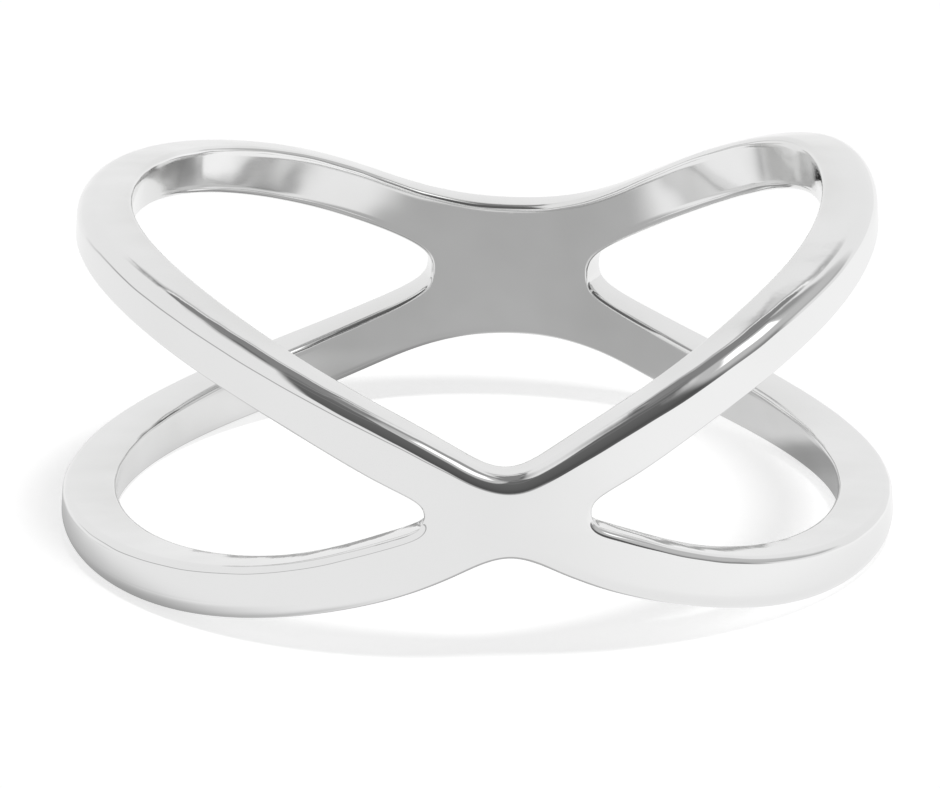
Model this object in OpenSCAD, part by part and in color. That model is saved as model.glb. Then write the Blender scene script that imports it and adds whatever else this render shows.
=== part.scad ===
// Crossover ring: one cast and polished band. An upper and a lower arm on each side run together
// in a narrow crossing at the front and in a wide one at the back, round an open window left and
// right. The finger axis is vertical, -Y is the front, and the lower rim rests at height 0.

/* [Band] */
// Inside diameter half way up, from front to back
inner_d = 17.3; // [15:0.1:20]
// Wall thickness at the front crossing
wall_front = 1; // [0.8:0.05:1.3]
// Wall thickness at the back crossing
wall_back = 1.1; // [0.8:0.05:1.3]
// Wall thickness at the sides
wall_side = 1.3; // [0.9:0.05:1.5]
// How much further in the inside stands at the sides, which makes the finger hole slightly oval
side_inset = 0.18; // [0:0.02:0.3]
// Lean of the walls in degrees, which makes the lower rim wider than the upper one
flare = 3.8; // [0:0.1:6]
// Height of the outline, as a share of the heights in the table of sections
rise = 1; // [0.85:0.05:1.2]

/* [Edges] */
// Radius of the outer edge along the rims
rim_round = 0.42; // [0.2:0.01:0.46]
// Radius of the outer edge round the windows
window_round = 0.2; // [0.12:0.01:0.28]
// Radius of the inner edges
inner_round = 0.15; // [0.06:0.01:0.18]

/* [Crossings] */
// Angle from the front crossing to the front tip of each window
front_tip = 11.8; // [10:0.1:12.3]
// Angle from the front crossing to the back tip of each window
back_tip = 166.8; // [166.3:0.1:169]
// Turn of both crossings towards the right, in degrees
crossing_turn = 5; // [0:0.1:7]
// How far the crossings sit below the middle of the sides
crossing_drop = 0.7; // [0:0.1:1]
// Extra height of the upper right lobe, as a share
right_lobe = 0.145; // [0:0.005:0.2]

/* [Fineness] */
// Facets along the rim between two rows of the table of sections
steps = 4; // [2:1:4]
// Facets across each face of the band
face_steps = 4; // [2:1:4]

/* [Hidden] */

// Half of the outline, a row for each section of one side. The lower half mirrors the upper one.
// Columns: angle from the front crossing, height of the rim and of the window's edge above the
// middle line. A window height of 0 stands where the section is closed.
sections = [
    [0, 0.94, 0],
    [7, 1.42, 0],
    [12.8, 1.86, 0.35],
    [19, 2.27, 0.77],
    [32, 3, 1.67],
    [50, 3.73, 2.45],
    [70, 4.05, 2.93],
    [90, 4.08, 3.06],
    [110, 4.06, 2.95],
    [130, 3.73, 2.49],
    [147, 3.18, 1.79],
    [159, 2.48, 1.07],
    [165.8, 2.08, 0.49],
    [173, 1.81, 0],
    [180, 1.74, 0],
];
angle_col = 0;
rim_col = 1;
window_col = 2;

// The upper right lobe is highest at this angle and back to the common height this far from it
lobe_angle = 115;
lobe_reach = 62;
// Facets across half a crossing
seam_steps = 3;
// Share of a window's first stretch that faces the crossing, the rest faces the rim
tip_share = 0.4;
// Facets round a rounded edge, of the inner face and of the outer one
inner_edge_steps = 2;
outer_edge_steps = 4;
// First section that a window runs through, counted from either crossing
first_open = 2;

spans = len(sections) - 1;
window_spans = spans - 2 * first_open + 2;
half_loop = spans * steps + 2 * seam_steps;
loop = 2 * half_loop;
degree_mm = (inner_d + wall_front + wall_back) / 2 * PI / 180;

// Smooth curves. Rows are pulled so that the curve runs through them, and the four rows round a
// place on it are weighted by how far along it is. These are the weights of a cubic B-spline.
function pulled(rows) = [
    for (i = [1:len(rows) - 2]) (8 * rows[i] - rows[i - 1] - rows[i + 1]) / 6
];
function weights(t) = [
    pow(1 - t, 3), 3 * pow(t, 3) - 6 * t * t + 4, -3 * pow(t, 3) + 3 * t * t + 3 * t + 1, pow(t, 3)
] / 6;
function slopes(t) = [
    -pow(1 - t, 2), 3 * t * t - 4 * t, -3 * t * t + 2 * t + 1, t * t
] / 2;
function nearest_four(rows, i) = [rows[i], rows[i + 1], rows[i + 2], rows[i + 3]];
function span_at(rows, q) = min(floor(q), len(rows) - 4);
function on_curve(rows, q) =
    let (i = span_at(rows, q)) weights(q - i) * nearest_four(rows, i);
function across_curve(rows, q) =
    let (
        i = span_at(rows, q),
        along = slopes(q - i) * nearest_four(rows, i),
        arc = along[0] * degree_mm,
        size = norm([arc, along[1]])
    )
    [-along[1] / size / degree_mm, arc / size];

// Rim and window rows, carried on past both ends by their mirror images
function rim_row(i) = [sections[i][angle_col], sections[i][rim_col]];
function window_row(i) = [sections[i][angle_col], sections[i][window_col]];
function mirrored(row) = [row[0], -row[1]];
rim_rows = pulled(concat(
    [for (i = [2, 1]) [-rim_row(i)[0], rim_row(i)[1]]],
    [for (i = [0:spans]) rim_row(i)],
    [for (i = [spans - 1, spans - 2]) [360 - rim_row(i)[0], rim_row(i)[1]]]
));
window_rows = pulled(concat(
    [for (i = [first_open + 1, first_open]) mirrored(window_row(i))],
    [[front_tip, 0]],
    [for (i = [first_open:spans - first_open]) window_row(i)],
    [[back_tip, 0]],
    [for (i = [first_open, first_open + 1]) mirrored(window_row(spans - i))]
));

// Stations run round each window, 0 at its front tip and half_loop at its back tip. The first and
// last seam_steps of them face a crossing, the others face the rim.
function upper_station(k) = k <= half_loop ? k : loop - k;
function at_crossing(k) =
    let (j = upper_station(k)) j <= seam_steps || j >= half_loop - seam_steps;
function from_tip(q) =
    q <= first_open ? tip_share + (1 - tip_share) * q / first_open : q - first_open + 1;
function window_place(j) =
    j > half_loop / 2 ? window_spans - window_place(half_loop - j)
    : j <= seam_steps ? tip_share * j / seam_steps
    : from_tip((j - seam_steps) / steps);

// Places on the unrolled wall, as angle and height, a distance d away from the window's edge and
// the same distance inside the rim. At a crossing the second one lies on the middle of it.
function by_window(j, d) =
    on_curve(window_rows, window_place(j)) + d * across_curve(window_rows, window_place(j));
function by_rim(j, d) =
    j <= seam_steps ? [0, (on_curve(rim_rows, 0)[1] - d) * j / seam_steps]
    : j >= half_loop - seam_steps
    ? [180, (on_curve(rim_rows, spans)[1] - d) * (half_loop - j) / seam_steps]
    : let (q = (j - seam_steps) / steps) on_curve(rim_rows, q) - d * across_curve(rim_rows, q);

// Section of an edge from the inner face to the outer one, which is rounded by the given radius.
// Columns: distance from the edge along the face, 0 for the inner face or 1 for the outer one, and
// the step out from that face.
function edge(outer_round) = concat(
    [for (i = [inner_edge_steps:-1:0]) let (a = 90 * i / inner_edge_steps)
        [inner_round * (1 - cos(a)), 0, inner_round * (1 - sin(a))]],
    [for (i = [0:outer_edge_steps]) let (a = 90 * i / outer_edge_steps)
        [outer_round * (1 - cos(a)), 1, -outer_round * (1 - sin(a))]]
);
last_edge = inner_edge_steps + outer_edge_steps + 1;
// Section of the band from the window's inner edge out, over the outer face to the rim and back
// over the inner face. Columns: share of the way from window to rim, distance from the window's
// edge, distance from the rim, then the last two columns of an edge.
profile = concat(
    [for (e = edge(window_round)) [0, e[0], 0, e[1], e[2]]],
    [for (i = [1:face_steps - 1]) [i / face_steps, window_round, rim_round, 1, 0]],
    [for (i = [0:last_edge]) let (e = edge(rim_round)[last_edge - i]) [1, 0, e[0], e[1], e[2]]],
    [for (i = [1:face_steps - 1]) [1 - i / face_steps, inner_round, inner_round, 0, 0]]
);
profile_size = len(profile);
rim_start = last_edge + face_steps;
rim_end = rim_start + last_edge;

// The middle line's height, and the whole ring's, so that its lowest point is at height 0
function sag(angle) = -crossing_drop / 2 * cos(2 * angle);
middle = max([
    for (i = [0:spans * steps])
        let (p = on_curve(rim_rows, i / steps)) rise * p[1] - sag(p[0])
]);

// Solid places from unrolled ones. Side is -1 on the left and 1 on the right.
function lobe(side, p) =
    side < 0 || p[1] < 0 ? 1
    : 1 + right_lobe * pow(cos(90 * min(1, abs(p[0] - lobe_angle) / lobe_reach)), 2);
function sideways(turn) = pow(sin(turn), 2);
function wall(turn) =
    let (along = wall_front + (wall_back - wall_front) * (1 - cos(turn)) / 2)
    along + (wall_side - along) * sideways(turn);
function rolled(side, p, face, step) =
    let (
        z = middle + sag(p[0]) + rise * p[1] * lobe(side, p),
        turn = side * p[0] + crossing_turn * cos(p[0]),
        inside = inner_d / 2 - side_inset * sideways(turn),
        r = inside + tan(flare) * (middle - z) + face * wall(turn) + step
    )
    [r * sin(turn), -r * cos(turn), z];

// One point of the band's surface, at station k and profile row m
function surface_point(side, k, m) =
    let (
        row = profile[m],
        j = upper_station(k),
        p = (1 - row[0]) * by_window(j, row[1]) + row[0] * by_rim(j, row[2])
    )
    rolled(side, k <= half_loop ? p : [p[0], -p[1]], row[3], row[4]);

// Both sides share their points in the middle of a crossing, where the right side uses the left's
function shared(k, m) = at_crossing(k) && m >= rim_start && m <= rim_end;
function point_id(side, k, m) =
    ((side > 0 && !shared(k, m) ? loop : 0) + k) * profile_size + m;
function facets(side, k, m) =
    let (
        k2 = (k + 1) % loop,
        m2 = (m + 1) % profile_size,
        open = at_crossing(k) && at_crossing(k2) && m >= rim_start && m < rim_end,
        a = point_id(side, k, m),
        b = point_id(side, k, m2),
        c = point_id(side, k2, m2),
        d = point_id(side, k2, m)
    )
    open ? [] : side > 0 ? [[a, b, c], [a, c, d]] : [[a, c, b], [a, d, c]];

module band() {
    color("silver")
        polyhedron(
            points = [
                for (side = [-1, 1], k = [0:loop - 1], m = [0:profile_size - 1])
                    surface_point(side, k, m)
            ],
            faces = [
                for (side = [-1, 1], k = [0:loop - 1], m = [0:profile_size - 1])
                    each facets(side, k, m)
            ],
            convexity = 6
        );
}

band();
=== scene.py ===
import bpy
import math
import numpy as np
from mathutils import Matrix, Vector


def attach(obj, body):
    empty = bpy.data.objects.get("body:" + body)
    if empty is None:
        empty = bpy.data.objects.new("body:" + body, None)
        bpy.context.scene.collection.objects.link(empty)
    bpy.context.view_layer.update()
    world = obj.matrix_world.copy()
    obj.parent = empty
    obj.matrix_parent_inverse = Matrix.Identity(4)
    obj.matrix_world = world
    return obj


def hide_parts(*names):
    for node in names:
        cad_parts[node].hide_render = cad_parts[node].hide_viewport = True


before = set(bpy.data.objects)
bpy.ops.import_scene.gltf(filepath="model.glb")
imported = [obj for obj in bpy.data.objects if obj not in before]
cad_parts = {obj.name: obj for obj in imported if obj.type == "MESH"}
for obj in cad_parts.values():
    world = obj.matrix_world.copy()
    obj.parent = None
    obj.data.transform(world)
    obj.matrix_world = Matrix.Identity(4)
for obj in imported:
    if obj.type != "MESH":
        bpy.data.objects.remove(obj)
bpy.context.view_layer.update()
print("frame loaded, nodes:", sorted(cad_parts))

mm = 0.001  # the ring's sizes are written in millimetres, Blender works in metres


class Shade:
    # wraps an output socket of a node tree, so that an expression on it adds its Math nodes
    def __init__(self, tree, socket=None):
        self.tree = tree
        self.socket = socket

    def node(self, kind, settings=None, sockets=None, output=0):
        # any node: its settings are set first, then the sockets' values or links
        made = self.tree.nodes.new(kind)
        for name, value in (settings or {}).items():
            setattr(made, name, value)
        for name, value in (sockets or {}).items():
            if isinstance(value, Shade):
                self.tree.links.new(value.socket, made.inputs[name])
            else:
                made.inputs[name].default_value = value
        return Shade(self.tree, made.outputs[output])

    def maths(self, operation, one, two):
        # a Math node on two numbers or sockets of them
        return self.node("ShaderNodeMath", {"operation": operation}, {0: one, 1: two})

    def mix(self, share, one, two):
        # colours or sockets of them, share 0 gives the first one
        one, two = [c if isinstance(c, Shade) else (*c, 1) for c in (one, two)]
        return self.node("ShaderNodeMix", {"data_type": "RGBA"}, {0: share, 6: one, 7: two}, output=2)

    def noise(self, where, size, detail):
        # soft noise between 0 and 1, its size is in waves per metre
        return self.node("ShaderNodeTexNoise", {}, {"Vector": where, "Scale": size, "Detail": detail})

    def objectPlace(self):
        # the Object coordinates
        return self.node("ShaderNodeTexCoord", output=3)

    def attribute(self, name):
        # a number that each point of the mesh carries
        return self.node("ShaderNodeAttribute", {"attribute_name": name}, output=2)

    def __add__(self, other):
        return self.maths("ADD", self, other)

    def __radd__(self, other):
        return self.maths("ADD", other, self)

    def __sub__(self, other):
        return self.maths("SUBTRACT", self, other)

    def __rsub__(self, other):
        return self.maths("SUBTRACT", other, self)

    def __mul__(self, other):
        return self.maths("MULTIPLY", self, other)

    def __rmul__(self, other):
        return self.maths("MULTIPLY", other, self)

    def __pow__(self, other):
        return self.maths("POWER", self, other)


def newMaterial(name):
    # an empty node tree, its output node and a Shade that adds nodes to it
    material = bpy.data.materials.new(name)
    material.use_nodes = True
    tree = material.node_tree
    tree.nodes.clear()
    return material, Shade(tree), tree.nodes.new("ShaderNodeOutputMaterial")


band = {
    "innerDiameter": 17.3,
    "wallFront": 1.0,
    "wallBack": 1.1,
    "wallSide": 1.3,
    "sideInset": 0.18,      # how much further in the inside stands at the sides
    "flare": 3.8,           # lean of the walls in degrees
    "rimRound": 0.42,       # outer edge along the rims
    "windowRound": 0.2,     # outer edge round the windows
    "innerRound": 0.15,
    "frontTip": 11.8,       # angle of each window's front tip
    "backTip": 166.8,
    "crossingTurn": 5.0,
    "crossingDrop": 0.7,
    "rightLobe": 0.145,     # extra height of the upper right lobe, as a share
    "lobeAngle": 115.0,     # where it is highest
    "lobeReach": 62.0,      # it is back to the common height this far from there
    "steps": 14,            # stations between two rows of the table
    "seamSteps": 10,        # stations across half a crossing
    "tipShare": 0.4,        # share of a window's first stretch that faces the crossing
    "faceSteps": 10,        # across each face of the band
    "innerEdgeSteps": 4,
    "outerEdgeSteps": 12,
    "middleSteps": 16,      # the rim's places between two rows that are searched for its lowest one
    # rows: angle from the front crossing, height of the rim and of the window's edge
    "sections": [
        (0, 0.94, 0), (7, 1.42, 0), (12.8, 1.86, 0.35), (19, 2.27, 0.77), (32, 3, 1.67),
        (50, 3.73, 2.45), (70, 4.05, 2.93), (90, 4.08, 3.06), (110, 4.06, 2.95), (130, 3.73, 2.49),
        (147, 3.18, 1.79), (159, 2.48, 1.07), (165.8, 2.08, 0.49), (173, 1.81, 0), (180, 1.74, 0),
    ],
    "firstOpen": 2,         # first row that a window runs through, from either crossing
}


def pulledRows(rows):
    # each row less a sixth of what its neighbours add, so that a cubic B-spline runs through it
    rows = np.asarray(rows, float)
    return (8 * rows[1:-1] - rows[:-2] - rows[2:]) / 6


def splineAt(rows, place):
    # cubic B-spline: four rows weighted by how far along their span, t, the place is. The slope is
    # the same with the weights' own slopes
    place = np.asarray(place, float)
    i = np.clip(np.floor(place).astype(int), 0, len(rows) - 4)
    t = place - i
    weight = np.stack([(1 - t) ** 3, 3 * t ** 3 - 6 * t ** 2 + 4,
                       -3 * t ** 3 + 3 * t ** 2 + 3 * t + 1, t ** 3]) / 6
    slope = np.stack([-(1 - t) ** 2, 3 * t ** 2 - 4 * t, -3 * t ** 2 + 2 * t + 1, t ** 2]) / 2
    near = np.stack([rows[i + k] for k in range(4)])
    return (weight[..., None] * near).sum(0), (slope[..., None] * near).sum(0)


def bandCurves(s):
    # the rim's and the windows' rows, carried on past both ends by their mirror images
    table = np.array(s["sections"], float)
    last, first = len(table) - 1, s["firstOpen"]
    rim, window = table[:, [0, 1]], table[:, [0, 2]]
    flip, down = np.array([-1, 1]), np.array([1, -1])
    rimRows = np.vstack([rim[[2, 1]] * flip, rim, [360, 0] + rim[[last - 1, last - 2]] * flip])
    windowRows = np.vstack([
        window[[first + 1, first]] * down, [[s["frontTip"], 0]], window[first:last - first + 1],
        [[s["backTip"], 0]], window[[last - first, last - first - 1]] * down])
    return pulledRows(rimRows), pulledRows(windowRows)


def awayFrom(point, along, distance, degree):
    # a point moved at right angles to the curve's slope, in the unrolled wall's millimetres
    arc = along[:, 0] * degree
    size = np.hypot(arc, along[:, 1])
    across = np.stack([-along[:, 1] / size / degree, arc / size], 1)
    return point + distance * across


def edgeArc(s, radius):
    # inner edge's quarter circle, then the outer one's: distance from the edge, face, step out and
    # how much the surface faces along the wall
    a = np.radians(np.linspace(90, 0, s["innerEdgeSteps"] + 1))
    b = np.radians(np.linspace(0, 90, s["outerEdgeSteps"] + 1))
    inner = [s["innerRound"] * (1 - np.cos(a)), 0 * a, s["innerRound"] * (1 - np.sin(a)), np.cos(a)]
    outer = [radius * (1 - np.cos(b)), 0 * b + 1, -radius * (1 - np.sin(b)), np.cos(b)]
    inner, outer = np.stack(inner, 1), np.stack(outer, 1)
    return np.vstack([inner, outer])


def bandProfile(s):
    # rows: share of the way from window to rim, distance from each, face, step out, edge
    share = np.linspace(0, 1, s["faceSteps"] + 1)[1:-1]
    one = np.ones_like(share)
    byWindow, byRim = edgeArc(s, s["windowRound"]), edgeArc(s, s["rimRound"])[::-1]
    zero = np.zeros(len(byRim))
    return np.vstack([
        np.column_stack([zero, byWindow[:, 0], zero, byWindow[:, 1:]]),
        np.column_stack([share, one * s["windowRound"], one * s["rimRound"], one, 0 * one, 0 * one]),
        np.column_stack([zero + 1, zero, byRim[:, 0], byRim[:, 1:]]),
        np.column_stack([share[::-1], one * s["innerRound"], one * s["innerRound"],
                         0 * one, 0 * one, 0 * one]),
    ])


def bandMesh(s):
    # stations round each window times the profile's rows. A place is a mix of a point off the
    # window's edge and one off the rim, then rolled up: x = r sin t, y = -r cos t, z = height
    rimRows, windowRows = bandCurves(s)
    spans = len(s["sections"]) - 1
    windowSpans = spans - 2 * s["firstOpen"] + 2
    steps, seam = s["steps"], s["seamSteps"]
    half = spans * steps + 2 * seam
    loop = 2 * half
    degree = (s["innerDiameter"] + s["wallFront"] + s["wallBack"]) / 2 * math.pi / 180
    k = np.arange(loop)
    upper = np.where(k <= half, k, loop - k)
    crossing = (upper <= seam) | (upper >= half - seam)

    near = np.where(upper > half / 2, half - upper, upper)
    q = (near - seam) / steps
    fromTip = np.where(q <= s["firstOpen"], s["tipShare"] + (1 - s["tipShare"]) * q / s["firstOpen"],
                       q - s["firstOpen"] + 1)
    place = np.where(near <= seam, s["tipShare"] * near / seam, fromTip)
    place = np.where(upper > half / 2, windowSpans - place, place)
    windowPoint, windowAlong = splineAt(windowRows, place)
    rimPoint, rimAlong = splineAt(rimRows, np.clip((upper - seam) / steps, 0, spans))
    frontRim, backRim = splineAt(rimRows, [0, spans])[0][:, 1]

    profile = bandProfile(s)
    rows = len(profile)
    grid = np.empty((loop, rows, 2))
    for m, (share, byWindow, byRim) in enumerate(profile[:, :3]):
        w = awayFrom(windowPoint, windowAlong, byWindow, degree)
        r = awayFrom(rimPoint, rimAlong, -byRim, degree)
        front = np.column_stack([0 * k, (frontRim - byRim) * upper / seam])
        back = np.column_stack([0 * k + 180, (backRim - byRim) * (half - upper) / seam])
        r = np.where((upper <= seam)[:, None], front, np.where((upper >= half - seam)[:, None], back, r))
        grid[:, m] = (1 - share) * w + share * r
    grid[..., 1] *= np.where(k <= half, 1, -1)[:, None]

    def sag(angle):
        # height of the middle line, lower at the crossings than at the sides: -drop / 2 * cos 2 t
        return -s["crossingDrop"] / 2 * np.cos(2 * np.radians(angle))

    rimLine = splineAt(rimRows, np.linspace(0, spans, spans * s["middleSteps"] + 1))[0]
    middle = (rimLine[:, 1] - sag(rimLine[:, 0])).max()
    points = []
    for side in (-1, 1):
        angle, height = grid[..., 0], grid[..., 1]
        lobe = 1.0
        if side > 0:
            near = np.clip(np.abs(angle - s["lobeAngle"]) / s["lobeReach"], 0, 1)
            lobe = np.where(height > 0, 1 + s["rightLobe"] * np.cos(np.radians(90 * near)) ** 2, 1)
        z = middle + sag(angle) + height * lobe
        turn = np.radians(side * angle + s["crossingTurn"] * np.cos(np.radians(angle)))
        sideways = np.sin(turn) ** 2
        wall = s["wallFront"] + (s["wallBack"] - s["wallFront"]) * (1 - np.cos(turn)) / 2
        wall = wall + (s["wallSide"] - wall) * sideways
        r = s["innerDiameter"] / 2 - s["sideInset"] * sideways
        r = r + math.tan(math.radians(s["flare"])) * (middle - z)
        r = r + profile[:, 3] * wall + profile[:, 4]
        points.append(np.stack([r * np.sin(turn), -r * np.cos(turn), z], -1))
    points = np.stack(points) * mm
    inside = np.broadcast_to(1 - profile[:, 3], (2, loop, rows)).reshape(-1)
    edge = np.broadcast_to(profile[:, 5], (2, loop, rows)).reshape(-1)

    # both sides share the points in the middle of a crossing
    rimStart = s["innerEdgeSteps"] + s["outerEdgeSteps"] + 1 + s["faceSteps"]
    rimEnd = rimStart + s["innerEdgeSteps"] + s["outerEdgeSteps"] + 1
    ids = np.arange(2 * loop * rows).reshape(2, loop, rows)
    m = np.arange(rows)
    shared = crossing[:, None] & (m >= rimStart) & (m <= rimEnd)
    ids[1][shared] = ids[0][shared]
    k2, m2 = (k + 1) % loop, (m + 1) % rows
    a, b = ids, ids[:, :, m2]
    c, d = ids[:, k2][:, :, m2], ids[:, k2]
    closed = ~((crossing & crossing[k2])[:, None] & (m >= rimStart) & (m < rimEnd))
    leftQuads = np.stack([a[0], b[0], c[0], d[0]], -1)[closed]
    rightQuads = np.stack([a[1], d[1], c[1], b[1]], -1)[closed]
    quads = np.vstack([leftQuads, rightQuads])
    used, quads = np.unique(quads, return_inverse=True)
    marks = {"inside": inside[used], "edge": edge[used]}
    return points.reshape(-1, 3)[used], quads.reshape(-1, 4), marks


def gridQuads(rows, columns):
    # a quad between each point of a grid and its next ones
    ids = np.arange(rows * columns).reshape(rows, columns)
    return np.stack([ids[:-1, :-1], ids[1:, :-1], ids[1:, 1:], ids[:-1, 1:]], -1).reshape(-1, 4)


def meshObject(name, points, quads, material, marks):
    # a mesh at the origin, each mark is a value per point that its material reads by name
    mesh = bpy.data.meshes.new(name)
    mesh.from_pydata(points.reshape(-1, 3).tolist(), [], quads.tolist())
    mesh.materials.append(material)
    for mark, values in marks.items():
        mesh.attributes.new(mark, "FLOAT", "POINT").data.foreach_set("value", values.ravel())
    piece = bpy.data.objects.new(name, mesh)
    bpy.context.scene.collection.objects.link(piece)
    return piece


def lookFrom(thing, target):
    # a camera or light put in the scene, its -Z towards the target
    thing.rotation_mode = "QUATERNION"
    thing.rotation_quaternion = (thing.location - Vector(target)).to_track_quat("Z", "Y")
    bpy.context.scene.collection.objects.link(thing)


polish = {
    "colour": (0.81, 0.81, 0.81),
    "tarnish": (0.76, 0.76, 0.755),          # slightly duller tone in places
    "insideColour": (0.84, 0.84, 0.84),      # the inner face is less well polished; its tone is painted shade, patchy and a little darker
    "insidePaintedShade": (0.74, 0.74, 0.735), "insideContrast": 3.0, "cloudMiddle": 0.5,
    "roughness": 0.03,
    "roughnessSpread": 0.12,                 # how much cloudier the polish is in places
    "insideRoughness": 0.05,
    "cloudSize": 260.0, "cloudDetail": 3.0, "cloudPower": 3.0,      # sizes are per metre
    "waveSize": 430.0, "waveDetail": 1.0,    # soft waves left by hand polishing
    "waveHeight": 0.020 * mm,
    "rippleSize": 1100.0, "rippleDetail": 0.0,
    "rippleHeight": 0.35,                    # these and the next are shares of the waves' height
    "edgeRipple": 1.6,                       # more of them round the edges
    "grainSize": 4500.0, "grainDetail": 1.0,
    "grainHeight": 0.10, "grainPower": 4.0,  # file marks left on the edges
}


def polishedSilver(s):
    # bare metal: height = wave + (a + b * edge) * ripple + c * edge ^ p * grain. Its tones are
    # mixed by clouds, those of the inner face with more contrast and a little darker, as painted shade
    material, shade, out = newMaterial("polishedSilver")
    where = shade.objectPlace()
    inside, edge = shade.attribute("inside"), shade.attribute("edge")
    wave = shade.noise(where, s["waveSize"], s["waveDetail"])
    ripple = shade.noise(where, s["rippleSize"], s["rippleDetail"])
    grain = shade.noise(where, s["grainSize"], s["grainDetail"])
    cloud = shade.noise(where, s["cloudSize"], s["cloudDetail"])
    height = wave + (s["rippleHeight"] + s["edgeRipple"] * edge) * ripple
    height = height + s["grainHeight"] * edge ** s["grainPower"] * grain
    dull = cloud ** s["cloudPower"]
    outer = shade.mix(dull, s["colour"], s["tarnish"])
    # painted shade: lighter and darker patches on the inner face stand in for the shaded floor it reflects
    patches = (cloud - s["cloudMiddle"]) * s["insideContrast"] + s["cloudMiddle"]
    inner = shade.mix(patches, s["insideColour"], s["insidePaintedShade"])
    bump = shade.node("ShaderNodeBump", {}, {"Height": height, "Distance": s["waveHeight"], "Strength": 1.0})
    metal = shade.node("ShaderNodeBsdfPrincipled", {}, {
        "Base Color": shade.mix(inside, outer, inner), "Metallic": 1.0, "Normal": bump,
        "Roughness": s["roughness"] + s["roughnessSpread"] * dull + s["insideRoughness"] * inside})
    shade.tree.links.new(metal.socket, out.inputs["Surface"])
    return material


silver = polishedSilver(polish)
points, quads, marks = bandMesh(band)
ring = meshObject("ring_band", points, quads, silver, marks)
ring.data.polygons.foreach_set("use_smooth", np.ones(len(quads), bool))
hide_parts("band")
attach(ring, "root")
print("band made:", len(points), "points,", len(quads), "quads")


# The studio. Directions are in degrees: azimuth 0 is behind the camera, 90 at the right

def ease(low, high, x):
    # rises smoothly from 0 at low to 1 at high, 3 t^2 - 2 t^3
    t = np.clip((x - low) / (high - low), 0, 1)
    return t * t * (3 - 2 * t)


def between(rise, fall, x):
    # 1 from the end of the rise to the start of the fall, 0 outside them, both are pairs
    return ease(*rise, x) * (1 - ease(*fall, x))


def towards(level, light, share):
    # the level with a share of it replaced by another light
    return level + (light - level) * share


tent = {
    "radius": 0.45,
    "azimuthStep": 1.5, "elevationStep": 1.0,
    "walls": 0.95,                          # light of the tent's white walls
    "floor": 0.97, "floorRight": 1.08,      # the floor is brighter at the right
    "floorEdge": (-1.0, 0.5),
    "roof": 0.27, "roofSpan": (60.0, 80.0),
    "backSpan": (125.0, 150.0), "roofBack": -19.0,      # the roof comes down lower at the back
    "grey": 0.60, "greyFoot": 0.28, "greyRise": (4.0, 22.0),        # grey wall at the right
    "greyStart": (28.0, 42.0), "greyEnd": (112.0, 126.0),
    "greyTop": 0.36, "greyTopSpan": (34.0, 56.0), "greyTopStart": (84.0, 98.0),
    "greyGap": 0.92,                        # its bright lower right end
    "greyGapSpan": (8.0, 15.0), "greyGapStart": (82.0, 93.0),
    # the unlit room behind the camera: its light by elevation, and the lowest elevation by azimuth
    # and the azimuth of its right edge by elevation
    "room": [(0, 0.15), (12, 0.09), (26, 0.12), (45, 0.14), (60, 0.15), (70, 0.17), (80, 0.21),
             (90, 0.27)],
    "roomStart": (-38.0, -30.0), "roomSoft": (-3.0, 4.0),
    "roomFoot": [(-36, 26), (-25, 19), (-10, 12), (0, 8), (12, 2), (20, -6)],
    "roomRight": [(0, 64), (12, 58), (30, 46), (50, 35), (70, 28)], "roomEnd": (-6.0, 6.0),
    # thin lights in the room: elevation, width, light
    "strips": [(60.0, 2.5, 0.28), (76.0, 2.0, 0.42)], "stripSlope": 0.12, "stripShare": 0.6,
    "softbox": 1.6, "softboxPlace": (68.0, 51.0), "softboxHalf": (16.0, 13.5), "softboxSoft": 2.5,
    "backStrip": 1.1, "backStripPlace": 57.0, "backStripWidth": 4.0,    # a thin light at the back
    # dark gaps between the tent's sheets: width, depth, azimuths of start and end, elevation by azimuth
    "seams": [
        (4.5, 0.60, (-148, -108), (0, 40), [(-150, -12), (-128, 2), (40, 2)]),
        (6.0, 0.45, (-176, -158), (-60, -40),
         [(-180, 46), (-166, 44), (-160, 52), (-122, 71), (-98, 78)]),
        (5.0, 0.35, (60, 80), (112, 130), [(60, 76), (130, 72)]),
    ],
}


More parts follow.
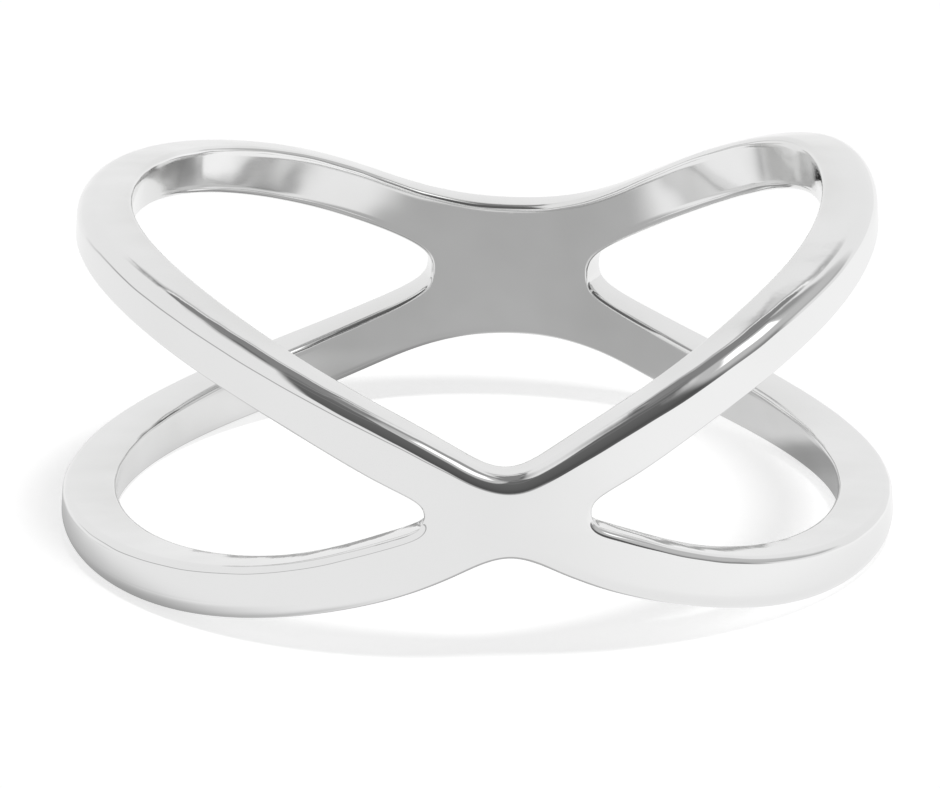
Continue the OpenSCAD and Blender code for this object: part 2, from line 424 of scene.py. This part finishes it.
def tentLight(s, azimuth, elevation):
    # the light of each direction: each part of the tent is mixed over the ones before it
    back = ease(*s["backSpan"], np.abs(azimuth))
    level = towards(s["walls"], s["roof"], ease(*s["roofSpan"], elevation - s["roofBack"] * back))
    grey = towards(s["greyFoot"], s["grey"], ease(*s["greyRise"], elevation))
    top = ease(*s["greyTopSpan"], elevation) * ease(*s["greyTopStart"], azimuth)
    grey = towards(grey, s["greyTop"], top)
    gap = (1 - ease(*s["greyGapSpan"], elevation)) * ease(*s["greyGapStart"], azimuth)
    grey = towards(grey, s["greyGap"], gap)
    level = towards(level, np.minimum(grey, level), between(s["greyStart"], s["greyEnd"], azimuth))

    room = np.interp(elevation, *np.array(s["room"]).T)
    for place, width, light in s["strips"]:
        away = np.abs(elevation - place - s["stripSlope"] * azimuth)
        room = towards(room, light, s["stripShare"] * (1 - ease(0, width, away)))
    foot = np.interp(azimuth, *np.array(s["roomFoot"], float).T)
    past = azimuth - np.interp(elevation, *np.array(s["roomRight"], float).T)
    seen = ease(*s["roomStart"], azimuth) * (1 - ease(*s["roomEnd"], past))
    seen = seen * ease(*s["roomSoft"], elevation - foot)
    level = towards(level, room, seen)

    box = 1
    for angle, middle, half in zip((azimuth, elevation), s["softboxPlace"], s["softboxHalf"]):
        box = box * (1 - ease(half - s["softboxSoft"], half + s["softboxSoft"], np.abs(angle - middle)))
    level = towards(level, s["softbox"], box)
    strip = back * (1 - ease(0, s["backStripWidth"], np.abs(elevation - s["backStripPlace"])))
    level = towards(level, s["backStrip"], strip)

    floor = towards(s["floor"], s["floorRight"], ease(0, 1, np.sin(np.radians(azimuth))))
    level = towards(floor, level, ease(*s["floorEdge"], elevation))
    for width, depth, start, end, places in s["seams"]:
        away = np.abs(elevation - np.interp(azimuth, *np.array(places, float).T))
        level = level * (1 - depth * between(start, end, azimuth) * (1 - ease(0, width, away)))
    return level


def glowPaint():
    # black paint that gives off the light of its point, level
    material, shade, out = newMaterial("tentGlow")
    glow = shade.node("ShaderNodeBsdfPrincipled", {}, {
        "Base Color": (0, 0, 0, 1), "Specular IOR Level": 0.0, "Roughness": 1.0,
        "Emission Color": shade.attribute("level"), "Emission Strength": 1.0})
    shade.tree.links.new(glow.socket, out.inputs["Surface"])
    return material


def onlyReflected(piece):
    # kept out of the picture and of the floor's light
    piece.visible_camera = piece.visible_diffuse = piece.visible_shadow = False


def tentDome(s, paint):
    # a ball round the ring: (sin a cos e, -cos a cos e, sin e) times its radius
    azimuths = np.arange(-180, 181, s["azimuthStep"])
    elevations = np.arange(-90, 91, s["elevationStep"])
    azimuth, elevation = np.meshgrid(azimuths, elevations)
    a, e = np.radians(azimuth), np.radians(elevation)
    points = np.stack([np.sin(a) * np.cos(e), -np.cos(a) * np.cos(e), np.sin(e)], -1) * s["radius"]
    level = tentLight(s, azimuth, elevation)
    onlyReflected(meshObject("tentDome", points, gridQuads(*azimuth.shape), paint, {"level": level}))


ringShade = {                               # sizes in millimetres, turns in degrees from the front
    "radius": 24.0, "height": 0.02,
    "turnStep": 3.0, "rings": 90,
    "open": 0.97, "openRight": 1.08, "openSpan": (9.5, 14.0),       # light of the floor further out
    "inside": 0.50, "rim": (8.4, 9.2),      # light of the shaded floor inside the ring
    "backEnd": (6.5, 9.5), "rightEnd": (3.0, 5.0),      # it ends towards these y - x and these x
    "rightShade": 0.43, "rightOut": (8.05, 8.42),       # a narrow shade along the band's right half
    "rightFar": (9.0, 9.6), "rightStart": (88.0, 102.0), "rightStop": (136.0, 150.0),
    # round shades: light, x, y, width
    "spots": [(0.40, -10.5, 14.5, 3.0), (0.33, -2.0, 8.6, 2.4), (0.76, 5.3, 5.9, 2.2),
              (0.36, 7.3, 3.8, 1.15)],
    # shades under the band's left half: depth, radius, width, range of the turn's sine
    "under": [(0.48, 10.0, 1.3, (0.4, 0.85)), (0.40, 9.5, 0.5, (0.1, 0.5))],
}


def floorShade(s, paint):
    # a disc just over the floor that stands for it in reflections: x = r sin t, y = -r cos t, and
    # its light mixes each shade over the ones before it
    rings = s["radius"] * np.linspace(0, 1, s["rings"])
    turn, out = np.meshgrid(np.arange(0, 361, s["turnStep"]), rings)
    sine, cosine = np.sin(np.radians(turn)), np.cos(np.radians(turn))
    x, y = out * sine, -out * cosine
    within = 1 - ease(*s["rim"], out)
    level = towards(s["open"], s["openRight"], ease(0, 1, sine) * ease(*s["openSpan"], out))
    shaded = (1 - ease(*s["backEnd"], y - x)) * (1 - ease(*s["rightEnd"], x))
    level = towards(level, s["inside"], shaded * within)
    right = between(s["rightOut"], s["rightFar"], out) * between(s["rightStart"], s["rightStop"], turn)
    level = towards(level, s["rightShade"], right)
    for light, right, back, width in s["spots"]:
        away = np.hypot(x - right, y - back) / width
        level = towards(level, light, np.exp(-away ** 4))
    for depth, place, width, span in s["under"]:
        level = level * (1 - depth * np.exp(-((out - place) / width) ** 2) * ease(*span, -sine))
    points = np.stack([x, y, 0 * x + s["height"]], -1) * mm
    onlyReflected(meshObject("floorShade", points, gridQuads(*turn.shape), paint, {"level": level}))


studio = {
    "worldLight": 0.25,
    "sunStrength": 0.85, "sunAngle": 10.0,
    "sunAzimuth": 46.0, "sunElevation": 76.0,
    "floorSize": 1.6,
    "floorColour": (0.86, 0.86, 0.86), "floorSpeck": (0.84, 0.84, 0.84),
    "speckSize": 2500.0, "speckDetail": 2.0,
    "floorGlow": 0.59,                      # a light table, which keeps the shades on it pale
}


def floorPaper(s):
    # matt paper with a faint speck
    material, shade, out = newMaterial("floorPaper")
    speck = shade.noise(shade.objectPlace(), s["speckSize"], s["speckDetail"])
    paper = shade.node("ShaderNodeBsdfPrincipled", {}, {
        "Base Color": shade.mix(speck, s["floorColour"], s["floorSpeck"]),
        "Roughness": 1.0, "Specular IOR Level": 0.0,
        "Emission Color": (1, 1, 1, 1), "Emission Strength": s["floorGlow"]})
    shade.tree.links.new(paper.socket, out.inputs["Surface"])
    return material


def studioStage(s):
    # floor, even light from all round and a soft sun, none of which reflections see
    world = bpy.data.worlds.new("tent")
    world.use_nodes = True
    world.node_tree.nodes["Background"].inputs["Color"].default_value = (1, 1, 1, 1)
    world.node_tree.nodes["Background"].inputs["Strength"].default_value = s["worldLight"]
    bpy.context.scene.world = world
    world.cycles_visibility.glossy = False
    corners = np.array([(-1, -1, 0), (1, -1, 0), (1, 1, 0), (-1, 1, 0)]) * s["floorSize"] / 2
    floor = meshObject("floor", corners, np.array([(0, 1, 2, 3)]), floorPaper(s), {})
    floor.visible_glossy = False
    light = bpy.data.lights.new("softSun", "SUN")
    light.energy = s["sunStrength"]
    light.angle = math.radians(s["sunAngle"])
    sun = bpy.data.objects.new("softSun", light)
    a, e = math.radians(s["sunAzimuth"]), math.radians(s["sunElevation"])
    sun.location = (math.sin(a) * math.cos(e), -math.cos(a) * math.cos(e), math.sin(e))
    lookFrom(sun, (0, 0, 0))
    sun.visible_glossy = False


glow = glowPaint()
tentDome(tent, glow)
floorShade(ringShade, glow)
studioStage(studio)
print("studio set")

view = {
    "place": (1.887, -170.953, 62.479),     # in millimetres
    "target": (-0.175, -0.167, 3.217),
    "scale": 7559.0,                        # focal length in pixels of the photo
    "sensor": 36.0,
    "width": 940.0,
    "clip": (0.01, 10.0),
}


def photoCamera(s):
    # lens = focal length in pixels / width in pixels * sensor width
    data = bpy.data.cameras.new("photoCamera")
    data.sensor_fit = "HORIZONTAL"
    data.sensor_width = s["sensor"]
    data.lens = s["scale"] / s["width"] * s["sensor"]
    data.clip_start, data.clip_end = s["clip"]
    camera = bpy.data.objects.new("photoCamera", data)
    camera.location = Vector(s["place"]) * mm
    lookFrom(camera, Vector(s["target"]) * mm)
    bpy.context.scene.camera = camera


photoCamera(view)
bpy.context.scene.view_settings.view_transform = "Standard"
print("camera set")
